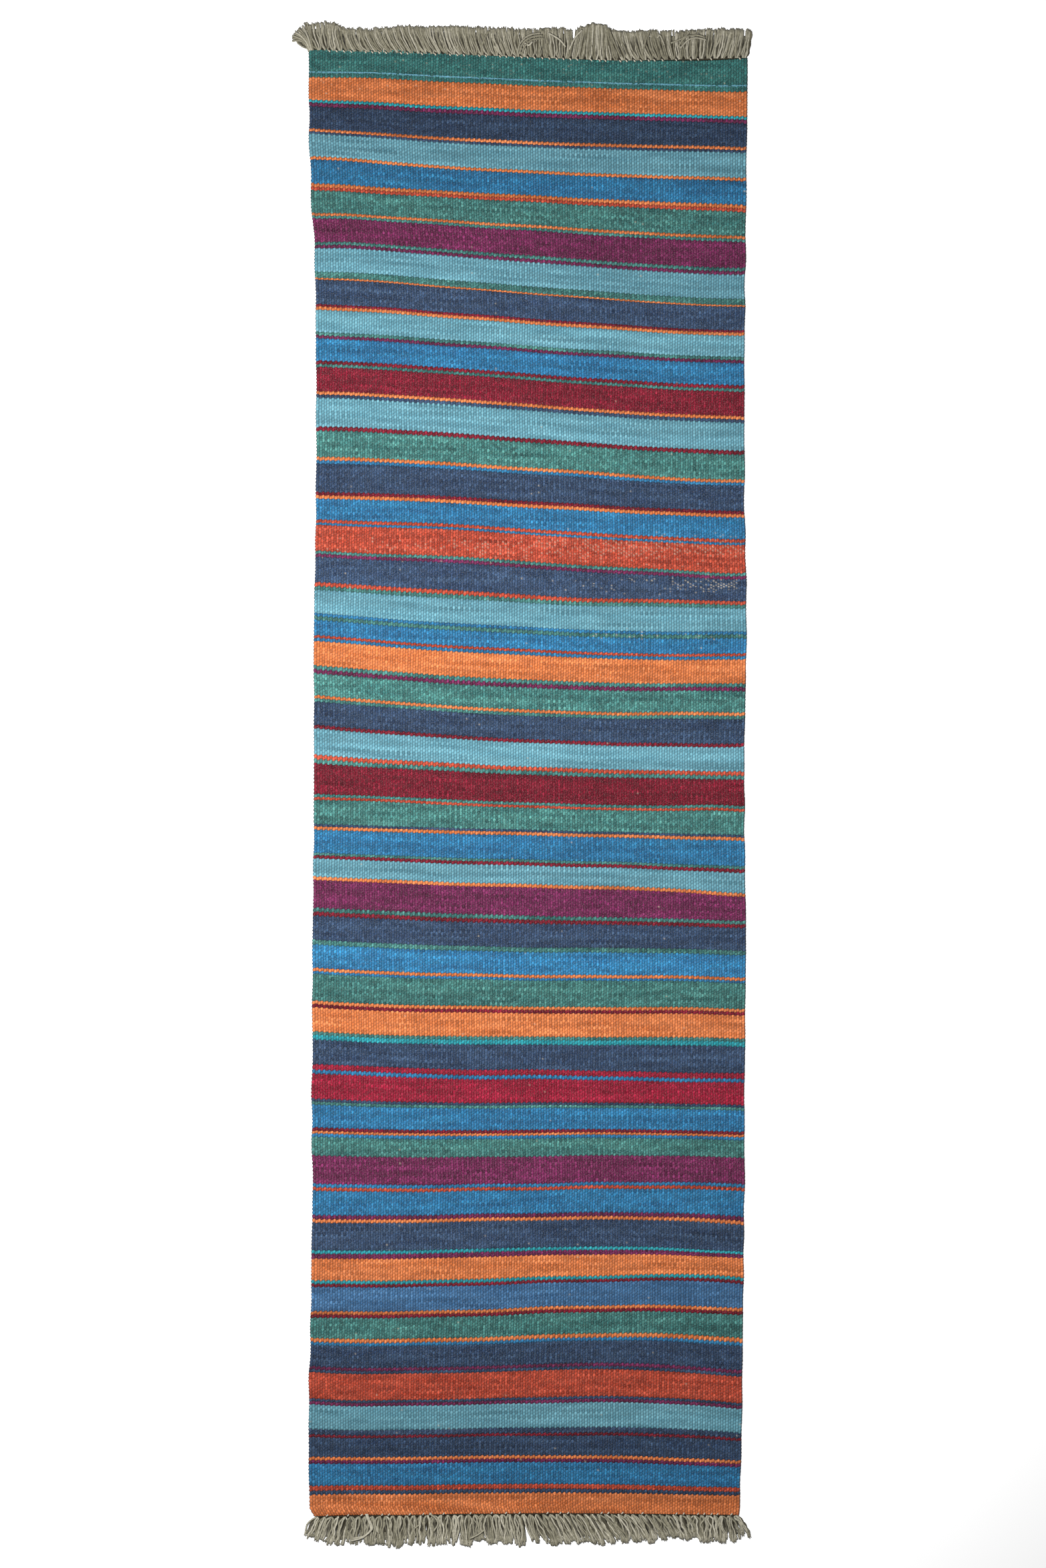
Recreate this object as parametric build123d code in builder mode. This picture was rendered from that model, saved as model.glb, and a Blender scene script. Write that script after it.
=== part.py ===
"""A flat-woven wool runner with warp fringes, lying flat on the floor.

X runs across the rug, Y along it towards the far end and Z up. The origin is on the floor under the
centre of the rug, fringes included. All sizes are millimetres.

The weft hides the warps on both faces, so every colour band or stripe is a flat sleeve of packed weft
with the warp yarns running lengthwise through it. The warps come out at both ends as tassels.
"""

import os
from math import hypot

from build123d import *

os.makedirs("parts", exist_ok=True)

# ---- driving dimensions ----
total_length = 2121.0  # between the tips of the two fringes
field_centre_x = 8.0  # the woven field lies this far right of the whole outline's centre
field_start_y = 1010.0  # the far edge of the first pick, where the reference line crosses it
reference_x = -53.0  # the draft's heights are measured along this line, from the field's centre
bend_x = 120.0  # the picks also bend here

cloth_thickness = 3.4
weft_cover = 1.05  # packed weft above and below the warps
warp_channel = cloth_thickness - 2 * weft_cover
selvedge_wrap = 1.2  # weft turning round the outermost warp
channel_overrun = 6.0  # the channel's cutter passes the sleeve's open ends

warp_count = 168
warp_width = 1.6
warps_at_far_end = (-293.5, 297.5)  # from the field's centre, where the first and last warps run
warps_at_near_end = (-293.5, 289.5)

tassel_count = 62
tassel_thickness = 2.6
tassel_gap = 0.5
tassel_neck = 6.0  # width where the tassel leaves the last pick
neck_length = 4.0
neck_clearance = 0.1  # between the tassel and the last pick
tip_taper = 5.0  # the tips are trimmed to a blunt point

# ---- the weaver's draft, far end first: yarn colour and height woven ----
# A height of 20 or more is a band. Anything less is a stripe of one to four picks.
draft = [
    ("teal", 39.0), ("orange", 34.0), ("turquoise", 4.0), ("plum", 5.5),
    ("navy", 34.0), ("orange", 4.5), ("navy", 3.0), ("sky", 33.0), ("orange", 3.5),
    ("blue", 30.5), ("orange", 4.5), ("coral", 4.5), ("green", 31.5), ("orange", 3.5), ("green", 4.0),
    ("plum", 34.0), ("green", 4.5), ("plum", 4.5), ("sky", 33.5), ("green", 9.0), ("orange", 2.0),
    ("navy", 34.0), ("wine", 3.0), ("orange", 4.5), ("sky", 30.5), ("green", 4.5), ("plum", 4.0),
    ("blue", 30.5), ("wine", 4.5), ("green", 4.0), ("wine", 33.5), ("orange", 4.0), ("navy", 4.5),
    ("sky", 39.0), ("wine", 5.5), ("green", 35.0), ("orange", 4.5), ("blue", 4.5),
    ("navy", 38.0), ("wine", 4.5), ("orange", 4.5), ("blue", 29.5), ("coral", 4.5), ("blue", 3.0),
    ("coral", 37.5), ("green", 4.5), ("plum", 4.5), ("navy", 38.0), ("coral", 5.5), ("green", 5.5),
    ("sky", 34.0), ("blue", 4.0), ("green", 5.5), ("blue", 21.5), ("coral", 3.5), ("blue", 4.5),
    ("orange", 34.0), ("green", 5.5), ("plum", 5.5), ("green", 30.5), ("orange", 4.0), ("green", 4.5),
    ("navy", 32.5), ("wine", 4.5), ("sky", 34.0), ("coral", 5.5), ("green", 5.5),
    ("wine", 39.0), ("green", 4.0), ("coral", 3.5), ("green", 31.0), ("navy", 3.0), ("orange", 4.5),
    ("blue", 33.5), ("green", 3.5), ("wine", 4.5), ("sky", 26.0), ("orange", 4.5),
    ("plum", 39.0), ("green", 5.5), ("wine", 5.5), ("navy", 33.5), ("green", 6.5),
    ("blue", 32.0), ("orange", 4.0), ("blue", 3.5), ("green", 37.0), ("orange", 4.5), ("wine", 4.5),
    ("orange", 33.0), ("green", 4.5), ("turquoise", 6.5), ("navy", 35.0), ("crimson", 7.5), ("blue", 5.5),
    ("crimson", 32.5), ("navy", 3.5), ("green", 4.0), ("blue", 30.5), ("wine", 4.5), ("orange", 3.0),
    ("blue", 4.5), ("green", 25.0), ("plum", 38.0), ("blue", 4.5), ("coral", 4.5),
    ("blue", 32.0), ("plum", 5.5), ("orange", 4.5), ("navy", 38.0), ("turquoise", 4.5), ("plum", 6.5),
    ("orange", 30.5), ("turquoise", 4.5), ("wine", 4.0), ("dusty_blue", 33.5), ("orange", 4.5),
    ("wine", 4.5), ("green", 29.5), ("orange", 5.5), ("blue", 4.5), ("navy", 30.5), ("plum", 4.5),
    ("navy", 4.0), ("coral", 37.0), ("navy", 3.5), ("plum", 4.5), ("sky", 33.5), ("navy", 7.5),
    ("wine", 3.5), ("navy", 27.0), ("orange", 4.5), ("plum", 4.5), ("blue", 30.5), ("coral", 6.5),
    ("navy", 5.5), ("orange", 28.5),
]  # fmt: skip
least_band_height = 20.0

# ---- how the cloth lies, station by station from the far end ----
# (distance woven, left edge x, right edge x, and how far the pick there has slipped towards the near
# end at the left edge, at bend_x and at the right edge). The x are from the field's centre.
lie = [
    (0, -305, 303, -8, 7, 3),
    (40, -305, 303, -9, 7, 12),
    (125, -305, 302, -16, 6, 10),
    (200, -302, 301, -13, 9, 18),
    (290, -297, 300, -18, 14, 23),
    (400, -295, 299, -16, 12, 19),
    (515, -295, 299, -13, 13, 22),
    (625, -295, 299, -9, 10, 16),
    (680, -296, 301, -12, 12, 19),
    (790, -298, 302, -17, 7, 9),
    (955, -298, 299, -18, 7, 8),
    (1070, -298, 299, -6, 4, 9),
    (1125, -299, 300, -9, 5, 12),
    (1235, -300, 301, -11, 2, 5),
    (1345, -300, 300, -8, 0, 3),
    (1460, -301, 299, -5, 0, 4),
    (1570, -300, 299, -1, -3, -1),
    (1625, -301, 298, 3, -2, 6),
    (1735, -302, 297, 4, -5, -1),
    (1845, -305, 296, -1, -4, 6),
    (1955, -305, 294, 2, 0, 6),
    (2011, -304, 292, 3, 0, 2),
    (2023, -297, 291, 4, 0, 2),
]

# ---- how the fringes lie, station by station from the left: (x at the base, how far the tip is
# shifted sideways, how far the tip lies short of the rug's end) ----
far_fringe_lie = [
    (-305, -26, 18),
    (-296, -16, 8),
    (-285, -8, 0),
    (-262, -7, 3),
    (-245, -12, 13),
    (-190, -18, 12),
    (-155, -18, 8),
    (-120, -16, 8),
    (-60, -10, 10),
    (-15, -12, 12),
    (10, 3, 12),
    (40, -8, 9),
    (52, 6, 12),
    (72, 6, 6),
    (100, 0, 4),
    (128, -14, 14),
    (183, -12, 14),
    (224, 2, 14),
    (245, 2, 12),
    (262, 12, 12),
    (286, 8, 12),
    (303, 4, 14),
]
near_fringe_lie = [
    (-297, -14, 14),
    (-285, -14, 10),
    (-262, -12, 5),
    (-238, -4, 3),
    (-180, 1, 2),
    (-100, -1, 2),
    (-65, 2, 8),
    (-30, 6, 3),
    (-8, 10, 6),
    (10, 20, 6),
    (75, 24, 5),
    (130, 22, 9),
    (185, 20, 13),
    (212, 12, 14),
    (235, 6, 9),
    (270, 6, 8),
    (284, 14, 12),
    (291, 22, 22),
]


def at(stations, place, column):
    """The value of a column at a place between two stations, on the straight line between them."""
    for before, after in zip(stations, stations[1:]):
        if place <= after[0] or after is stations[-1]:
            share = (place - before[0]) / (after[0] - before[0])
            share = min(max(share, 0.0), 1.0)
            return before[column] + share * (after[column] - before[column])


def pick_line(woven):
    """The line of the pick that lies this far into the draft, from the left edge to the right edge."""
    y = field_start_y - woven
    crossings = [
        (at(lie, woven, 1), at(lie, woven, 3)),
        (reference_x, 0.0),
        (bend_x, at(lie, woven, 4)),
        (at(lie, woven, 2), at(lie, woven, 5)),
    ]
    return [(field_centre_x + x, y - slip) for x, slip in crossings]


def moved(point, across=0.0, along=0.0):
    return (point[0] + across, point[1] + along)


def sleeve(start, end):
    """The weft woven between two places in the draft: a flat tube, open at its two long sides."""
    far, near = pick_line(start), pick_line(end)
    far_open = [moved(p, 0, channel_overrun) for p in far]
    near_open = [moved(p, 0, -channel_overrun) for p in near]
    far_open[0], near_open[0] = moved(far_open[0], selvedge_wrap), moved(near_open[0], selvedge_wrap)
    far_open[-1], near_open[-1] = moved(far_open[-1], -selvedge_wrap), moved(near_open[-1], -selvedge_wrap)
    with BuildPart() as tube:
        with BuildSketch():
            Polygon(*near, *reversed(far), align=None)
        extrude(amount=cloth_thickness)
        with BuildSketch(Plane.XY.offset(weft_cover)):
            Polygon(*near_open, *reversed(far_open), align=None)
        extrude(amount=warp_channel, mode=Mode.SUBTRACT)
    return tube.part


def pick_height(line, x):
    """The y of a pick line where it passes over x."""
    return at(line, x, 1)


def write(name, solids):
    """Writes one named sub-part: a single piece, or like pieces that lie apart."""
    part = Compound(label=name, children=solids)
    export_step(part, f"parts/{name}.step")


# ---- weft: every band is a piece of its own, and the stripes are kept by colour ----
places = [0.0]
for colour, height in draft:
    places.append(places[-1] + height)
woven_length = places[-1]

bands = []
stripes = {}
for (colour, height), start, end in zip(draft, places, places[1:]):
    solid = sleeve(start, end)
    if height >= least_band_height:
        bands.append((colour, [solid]))
    else:
        stripes.setdefault(colour, []).append(solid)

# The crimson band has a blue line woven into it near its far side, so it is two lengths of one yarn.
for colour, solids in bands:
    if colour == "crimson":
        solids.extend(stripes.pop("crimson"))

for number, (colour, solids) in enumerate(bands, start=1):
    write(f"band_{number:02d}_{colour}", solids)
for colour, solids in stripes.items():
    write(f"{colour}_stripes", solids)


# ---- warps: straight yarns side by side, well inside the selvedges all the way ----
def warp(number):
    """One warp yarn, pressed flat between the wefts above and below it."""
    share = (number + 0.5) / warp_count
    far_x, near_x = (
        field_centre_x + left + share * (right - left) for left, right in (warps_at_far_end, warps_at_near_end)
    )
    half = warp_width / 2
    corners = [(near_x - half, near_edge), (near_x + half, near_edge), (far_x + half, far_edge)]
    corners.append((far_x - half, far_edge))
    with BuildPart() as yarn:
        with BuildSketch(Plane.XY.offset(weft_cover)):
            Polygon(*[(x, pick_height(edge, x)) for x, edge in corners], align=None)
        extrude(amount=warp_channel)
    return yarn.part


far_edge, near_edge = pick_line(0.0), pick_line(woven_length)
write("warps", [warp(number) for number in range(warp_count)])


# ---- fringes: each tassel is a flat hank that fills its share of the width, side by side ----
def tassel_outline(edge, stations, end_y, number):
    """The plan of one tassel, from its neck at the last pick to its blunt tip."""
    left_x, right_x = edge[0][0], edge[-1][0]
    pitch = (right_x - left_x) / tassel_count
    inward = 1 if end_y < 0 else -1  # from the tips back towards the field
    sides = []
    for x in (left_x + number * pitch, left_x + (number + 1) * pitch):
        shift = at(stations, x - field_centre_x, 1)
        short = at(stations, x - field_centre_x, 2)
        sides.append(((x, pick_height(edge, x)), (x + shift, end_y + inward * short)))
    (base_l, tip_l), (base_r, tip_r) = sides
    middle = (base_l[0] + base_r[0]) / 2
    neck_l, neck_r = middle - tassel_neck / 2, middle + tassel_neck / 2
    neck_share = neck_length / hypot(tip_l[0] - base_l[0], tip_l[1] - base_l[1])
    taper_share = tip_taper / hypot(tip_l[0] - base_l[0], tip_l[1] - base_l[1])

    def along(side, share):
        (x0, y0), (x1, y1) = side
        return (x0 + share * (x1 - x0), y0 + share * (y1 - y0))

    return [
        (neck_l, pick_height(edge, neck_l) - inward * neck_clearance),
        moved(along(sides[0], neck_share), tassel_gap / 2),
        moved(along(sides[0], 1 - taper_share), tassel_gap / 2),
        ((tip_l[0] + tip_r[0]) / 2, (tip_l[1] + tip_r[1]) / 2),
        moved(along(sides[1], 1 - taper_share), -tassel_gap / 2),
        moved(along(sides[1], neck_share), -tassel_gap / 2),
        (neck_r, pick_height(edge, neck_r) - inward * neck_clearance),
    ]


def tassel(edge, stations, end_y, number):
    with BuildPart() as hank:
        with BuildSketch():
            Polygon(*tassel_outline(edge, stations, end_y, number), align=None)
        extrude(amount=tassel_thickness)
    return hank.part


far_end_y, near_end_y = total_length / 2, -total_length / 2
write("far_fringe", [tassel(far_edge, far_fringe_lie, far_end_y, n) for n in range(tassel_count)])
write("near_fringe", [tassel(near_edge, near_fringe_lie, near_end_y, n) for n in range(tassel_count)])

print(f"{len(draft)} colour changes, {len(bands)} bands, {woven_length:.1f} mm woven at the reference line")
print("stripes:", {colour: len(solids) for colour, solids in stripes.items()})
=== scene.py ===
"""The looks of a flat-woven wool runner: weft-faced bands and stripes, and a warp fringe at each end.

Metres, in the CAD model's frame: X across the rug, Y along it towards the far end, Z up. The weave is
read from the CAD sleeves. On the face of the cloth each pick shows as one bead on every second warp, so
beads lie like bricks and every change of colour is a zigzag.
"""

import math

import bpy
import numpy as np
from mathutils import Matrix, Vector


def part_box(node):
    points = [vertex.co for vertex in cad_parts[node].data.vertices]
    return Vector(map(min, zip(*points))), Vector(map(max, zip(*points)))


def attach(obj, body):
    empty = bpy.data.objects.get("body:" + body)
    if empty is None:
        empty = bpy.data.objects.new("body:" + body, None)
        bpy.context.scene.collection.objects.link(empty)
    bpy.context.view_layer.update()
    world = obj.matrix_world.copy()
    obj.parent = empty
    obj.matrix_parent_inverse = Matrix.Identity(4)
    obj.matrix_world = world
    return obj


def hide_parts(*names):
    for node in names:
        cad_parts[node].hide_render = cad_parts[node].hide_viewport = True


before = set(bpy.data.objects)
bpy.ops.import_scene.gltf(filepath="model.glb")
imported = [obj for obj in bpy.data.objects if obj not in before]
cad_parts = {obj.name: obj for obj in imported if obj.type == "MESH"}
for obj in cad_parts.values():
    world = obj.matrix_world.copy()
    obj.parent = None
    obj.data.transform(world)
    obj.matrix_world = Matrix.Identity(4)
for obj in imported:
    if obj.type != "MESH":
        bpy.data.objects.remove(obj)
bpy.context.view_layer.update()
MM = 0.001
rng = np.random.default_rng(7)

# ---- sizes ----
RIBS = 168  # warps across the rug, each under one column of beads
PICK = 2.31 * MM  # one row of weft
COLUMNS = 3  # grid columns across a rib
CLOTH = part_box("band_01_teal")[1].z
VALLEY = 1.1 * MM  # depth of the groove between two ribs
GAP = 0.6 * MM  # dip between two beads on a rib
SHOULDER = 0.1 * MM
WAIST = 0.36 * MM  # a bead is this much wider in its middle than the rib, on each side
PINCH = 0.3 * MM  # and its crown is this much narrower at its ends
SLANT = 0.22 * MM  # beads lean to the right, as the weft climbs from one pick to the next
STRIPE_SLANT = 0.5 * MM  # and more so in the loosely beaten stripes
EDGE_EASE = 0.5 * MM  # where the colour changes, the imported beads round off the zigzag
EDGE_CORNER_EASE = 0.8 * MM
UNDERSIDE = 0.15 * MM
SELVEDGE_TURN = 0.9 * MM  # the underside stops this far inside the selvedge

# ---- camera: straight above, far enough off to see the cloth without perspective ----
VIEW_LENGTH = 2.1735
CAMERA_HEIGHT = 5.0
SENSOR = 36.0
camera_data = bpy.data.cameras.new("camera")
camera_data.sensor_width = SENSOR
camera_data.lens = SENSOR * (CAMERA_HEIGHT - CLOTH) / VIEW_LENGTH
camera = bpy.data.objects.new("camera", camera_data)
camera.location = (0, 0, CAMERA_HEIGHT)
bpy.context.scene.collection.objects.link(camera)
bpy.context.scene.camera = camera
bpy.context.scene.view_settings.view_transform = "Standard"


# ---- mesh helpers ----
def make_piece(name, points, corners, sizes, smooth, thread, material):
    """A mesh object. corners lists every face's points in turn, and sizes says how many each has."""
    mesh = bpy.data.meshes.new(name)
    mesh.vertices.add(len(points))
    mesh.vertices.foreach_set("co", np.asarray(points, dtype=np.float32).ravel())
    mesh.loops.add(len(corners))
    mesh.loops.foreach_set("vertex_index", np.asarray(corners, dtype=np.int32))
    mesh.polygons.add(len(sizes))
    starts = np.concatenate([[0], np.cumsum(sizes)[:-1]]).astype(np.int32)
    mesh.polygons.foreach_set("loop_start", starts)
    mesh.polygons.foreach_set("use_smooth", np.asarray(smooth, dtype=bool))
    mesh.update(calc_edges=True)
    attribute = mesh.attributes.new("thread", "FLOAT_VECTOR", "FACE")
    attribute.data.foreach_set("vector", np.asarray(thread, dtype=np.float32).ravel())
    mesh.materials.append(material)
    piece = bpy.data.objects.new(name, mesh)
    bpy.context.scene.collection.objects.link(piece)
    return piece


def footprints(node):
    """The points on the floor under each separate solid of a CAD node."""
    number = {}
    merged = [number.setdefault(tuple(round(c, 5) for c in v.co), len(number)) for v in node.data.vertices]
    group = list(range(len(number)))

    def root(i):
        while group[i] != i:
            i = group[i]
        return i

    for polygon in node.data.polygons:
        first, *rest = (merged[v] for v in polygon.vertices)
        for other in rest:
            group[root(other)] = root(first)
    solids = {}
    for point, i in number.items():
        solids.setdefault(root(i), []).append(point)
    return [[p for p in solid if p[2] < UNDERSIDE] for solid in solids.values()]


def smoothed(values, window):
    """A running mean that keeps the two ends."""
    padded = np.pad(values, (window, window), mode="edge")
    kernel = np.ones(2 * window + 1) / (2 * window + 1)
    return np.convolve(padded, kernel, mode="valid")


# ---- materials ----
def node_tree(name):
    material = bpy.data.materials.new(name)
    material.use_nodes = True
    return material, material.node_tree


def feed(tree, sockets, values):
    """Give each socket its value: a number, or another node's output."""
    for socket, value in zip(sockets, values):
        if isinstance(value, (int, float)):
            socket.default_value = value
        else:
            tree.links.new(value, socket)


def math_node(tree, operation, a, b):
    node = tree.nodes.new("ShaderNodeMath")
    node.operation = operation
    feed(tree, node.inputs, (a, b))
    return node.outputs[0]


def times(tree, a, b):
    return math_node(tree, "MULTIPLY", a, b)


def noise(tree, vector, scale, detail=2.0):
    node = tree.nodes.new("ShaderNodeTexNoise")
    node.inputs["Scale"].default_value = scale
    node.inputs["Detail"].default_value = detail
    tree.links.new(vector, node.inputs["Vector"])
    return node.outputs["Fac"]


def vector_of(tree, x, y, z=0.0):
    node = tree.nodes.new("ShaderNodeCombineXYZ")
    feed(tree, node.inputs, (x, y, z))
    return node.outputs[0]


def stretched(tree, *parts):
    """A place for a noise to be read at: for each direction, a coordinate and how fine the noise is."""
    return vector_of(tree, *(times(tree, part, fineness) for part, fineness in parts))


def parts_of(tree, vector):
    node = tree.nodes.new("ShaderNodeSeparateXYZ")
    tree.links.new(vector, node.inputs[0])
    return node.outputs


def attribute(tree, name, output):
    node = tree.nodes.new("ShaderNodeAttribute")
    node.attribute_name = name
    return node.outputs[output]


def mix(tree, factor, a, b, blend="MIX"):
    node = tree.nodes.new("ShaderNodeMix")
    node.data_type = "RGBA"
    node.blend_type = blend
    for name, value in (("Factor", factor), ("A", a), ("B", b)):
        kind = "VALUE" if name == "Factor" else "RGBA"
        socket = next(s for s in node.inputs if s.name == name and s.type == kind)
        if isinstance(value, tuple):
            socket.default_value = (*value, 1.0)
        else:
            feed(tree, [socket], [value])
    return next(s for s in node.outputs if s.type == "RGBA")


def ramp(tree, factor, stops):
    """A colour ramp: stops are (place, grey or colour)."""
    node = tree.nodes.new("ShaderNodeValToRGB")
    tree.links.new(factor, node.inputs[0])
    elements = node.color_ramp.elements
    while len(elements) < len(stops):
        elements.new(0.5)
    for element, (place, colour) in zip(elements, stops):
        element.position = place
        element.color = (*colour, 1.0) if isinstance(colour, tuple) else (colour, colour, colour, 1.0)
    return node.outputs[0]


def shaded(tree, tint, shade):
    return mix(tree, 1.0, tint, shade, "MULTIPLY")


def woolly(tree, tint, fibre, smoothest, specular, sheen, bump_strength, bump_distance):
    """Give a material the rough, fibrous surface that both kinds of yarn share."""
    shader = tree.nodes["Principled BSDF"]
    tree.links.new(tint, shader.inputs["Base Color"])
    tree.links.new(ramp(tree, fibre, [(0.2, 0.95), (0.8, smoothest)]), shader.inputs["Roughness"])
    shader.inputs["Specular IOR Level"].default_value = specular
    shader.inputs["Sheen Weight"].default_value = sheen
    shader.inputs["Sheen Roughness"].default_value = 0.5
    bump = tree.nodes.new("ShaderNodeBump")
    bump.inputs["Strength"].default_value = bump_strength
    bump.inputs["Distance"].default_value = bump_distance
    tree.links.new(fibre, bump.inputs["Height"])
    tree.links.new(bump.outputs[0], shader.inputs["Normal"])


LINT = (0.42, 0.42, 0.4)
BARE_WARP = (0.50, 0.43, 0.32)
THIN_BLUE = (0.13, 0.31, 0.43)
MOST_PEEPING = 1.1  # a face's mark below this is a warp peeping out
LEAST_BLUE = 1.2  # and above this the thin blue yarn


def wool(name, colour, second, contrast):
    """Hand-spun wool weft: heathered along every pick, mottled from bead to bead, with rare pale flecks.

    thread is (rib, pick, mark) and lot is how light the band is.
    """
    material, tree = node_tree(name)
    rib, pick, mark = parts_of(tree, attribute(tree, "thread", "Vector"))
    x, y, z = parts_of(tree, tree.nodes.new("ShaderNodeTexCoord").outputs["Object"])

    streaks = noise(tree, stretched(tree, (x, 14.0), (pick, 7.3)), 1.0, 3.0)
    long_streaks = noise(tree, stretched(tree, (x, 5.0), (pick, 0.9)), 1.0, 1.0)
    abrash = noise(tree, stretched(tree, (x, 1.3), (pick, 0.23)), 1.0, 1.0)
    fibre = noise(tree, stretched(tree, (x, 450.0), (y, 1500.0), (z, 1500.0)), 1.0, 2.0)
    grain = noise(tree, stretched(tree, (x, 620.0), (y, 800.0)), 1.0, 1.0)
    fuzz = noise(tree, vector_of(tree, times(tree, x, 900.0), times(tree, y, 1100.0), 5.0), 1.0, 1.0)
    bead = tree.nodes.new("ShaderNodeTexWhiteNoise")
    bead.noise_dimensions = "2D"
    tree.links.new(vector_of(tree, rib, pick), bead.inputs["Vector"])
    bead_stops = [(0.0, 1.0 - 0.75 * contrast), (0.4, 1.0 - 0.25 * contrast)]
    bead_stops += [(0.7, 1.0 + 0.25 * contrast), (1.0, 1.0 + 0.75 * contrast)]
    depth = math_node(tree, "DIVIDE", z, CLOTH)

    tint = mix(tree, ramp(tree, streaks, [(0.35, 0.0), (0.68, 1.0)]), colour, second)
    for factor, stops in (
        (bead.outputs["Value"], bead_stops),
        (abrash, [(0.3, 0.86), (0.7, 1.1)]),
        (streaks, [(0.3, 0.78), (0.7, 1.2)]),
        (grain, [(0.3, 1.0 - contrast), (0.7, 1.0 + contrast)]),
        (fibre, [(0.3, 0.8), (0.7, 1.12)]),
        # painted shade: darker down in the grooves between ribs and the dips between beads, and a painted highlight
        # on the crowns
        (depth, [(0.4, 1.0), (0.66, 0.42), (0.8, 0.66), (0.93, 1.0), (1.02, 1.12)]),
    ):
        tint = shaded(tree, tint, ramp(tree, factor, stops))
    tint = mix(tree, ramp(tree, fuzz, [(0.56, 0.0), (0.74, 0.22)]), tint, LINT)
    tint = shaded(tree, tint, attribute(tree, "lot", "Color"))
    tint = shaded(tree, tint, ramp(tree, long_streaks, [(0.56, 1.0), (0.68, 0.78)]))
    peeping = times(tree, mark, math_node(tree, "LESS_THAN", mark, MOST_PEEPING))
    tint = mix(tree, peeping, tint, BARE_WARP)
    is_blue = math_node(tree, "GREATER_THAN", mark, LEAST_BLUE)
    tint = mix(tree, times(tree, is_blue, math_node(tree, "SUBTRACT", mark, 1.0)), tint, THIN_BLUE)
    woolly(tree, tint, fibre, 0.75, 0.1, 0.05, 0.6, 0.35 * MM)
    return material


STRAND_TINTS = [(0.0, (0.21, 0.195, 0.135)), (0.5, (0.31, 0.29, 0.215)), (1.0, (0.5, 0.47, 0.375))]
SHADOWED = (0.022, 0.018, 0.009)
KNOT_TAIL = (0.4, 0.365, 0.29)


def undyed(name):
    """Two-ply undyed wool. thread is (a number for the strand, how much painted light it gets, how far along it).
    """
    material, tree = node_tree(name)
    strand, exposed, along = parts_of(tree, attribute(tree, "thread", "Vector"))
    place = tree.nodes.new("ShaderNodeTexCoord").outputs["Object"]
    draw = tree.nodes.new("ShaderNodeTexWhiteNoise")
    draw.noise_dimensions = "1D"
    tree.links.new(strand, draw.inputs["W"])
    mottle = noise(tree, place, 260.0, 3.0)
    fibre = noise(tree, place, 1400.0, 2.0)

    tint = ramp(tree, draw.outputs["Value"], STRAND_TINTS)
    tint = shaded(tree, tint, ramp(tree, mottle, [(0.3, 0.75), (0.7, 1.15)]))
    tint = shaded(tree, tint, ramp(tree, fibre, [(0.3, 0.8), (0.7, 1.15)]))
    # painted shade: faces given little light turn to a dark brown
    tint = mix(tree, exposed, SHADOWED, tint)
    tint = mix(tree, math_node(tree, "GREATER_THAN", along, 1.5), tint, KNOT_TAIL)
    woolly(tree, tint, fibre, 0.8, 0.15, 0.1, 0.5, 0.3 * MM)
    return material


# yarn: (colour, its second shade in the heather, how much beads differ). Except for the turquoise, a
# program worked the colours out from the difference between the photo's bands and the render's.
YARNS = {
    "teal": ((0.016, 0.09, 0.087), (0.031, 0.127, 0.115), 0.33),
    "orange": ((0.45, 0.113, 0.028), (0.51, 0.158, 0.054), 0.24),
    "navy": ((0.016, 0.033, 0.074), (0.028, 0.053, 0.099), 0.4),
    "sky": ((0.078, 0.216, 0.275), (0.108, 0.257, 0.31), 0.1),
    "blue": ((0.014, 0.105, 0.23), (0.019, 0.139, 0.267), 0.33),
    "green": ((0.028, 0.114, 0.109), (0.049, 0.157, 0.14), 0.45),
    "plum": ((0.086, 0.009, 0.041), (0.118, 0.012, 0.06), 0.45),
    "wine": ((0.114, 0.003, 0.012), (0.146, 0.005, 0.017), 0.42),
    "coral": ((0.303, 0.034, 0.015), (0.362, 0.058, 0.03), 0.36),
    "crimson": ((0.192, 0.004, 0.019), (0.237, 0.007, 0.028), 0.36),
    "turquoise": ((0.009, 0.189, 0.225), (0.018, 0.231, 0.27), 0.22),
    "dusty_blue": ((0.028, 0.089, 0.192), (0.045, 0.12, 0.231), 0.24),
}
# how much lighter or darker a band is than its yarn, rounded from a program's comparison with the photo
LOTS = {
    "band_02_orange": 0.92,
    "band_03_navy": 0.80,
    "band_04_sky": 0.93,
    "band_05_blue": 0.90,
    "band_06_green": 0.95,
    "band_09_navy": 1.10,
    "band_10_sky": 1.07,
    "band_12_wine": 1.08,
    "band_13_sky": 1.05,
    "band_14_green": 1.10,
    "band_18_navy": 1.10,
    "band_22_green": 1.08,
    "band_23_navy": 0.95,
    "band_25_wine": 0.92,
    "band_27_blue": 0.93,
    "band_28_sky": 0.91,
    "band_31_blue": 1.12,
    "band_32_green": 0.93,
    "band_38_plum": 1.12,
    "band_40_navy": 1.05,
    "band_41_orange": 1.05,
    "band_45_coral": 0.95,
    "band_47_navy": 0.95,
}
wools = {yarn: wool(f"{yarn}_wool", *look) for yarn, look in YARNS.items()}
undyed_wool = undyed("undyed_yarn")

# ---- the draft, read from the CAD sleeves, far end first ----
FRINGES = {"far": "far_fringe", "near": "near_fringe"}
sleeves = []
for node_name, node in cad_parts.items():
    if node_name == "warps" or node_name in FRINGES.values():
        continue
    for floor_points in footprints(node):
        by_x = sorted(floor_points)
        crossings = [sorted(by_x[i : i + 2], key=lambda p: -p[1]) for i in range(0, len(by_x), 2)]
        sleeves.append((node_name, np.array(crossings)[:, :, :2]))  # crossing, far or near, x and y
sleeves.sort(key=lambda sleeve: -sleeve[1][1, 0, 1])

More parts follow.
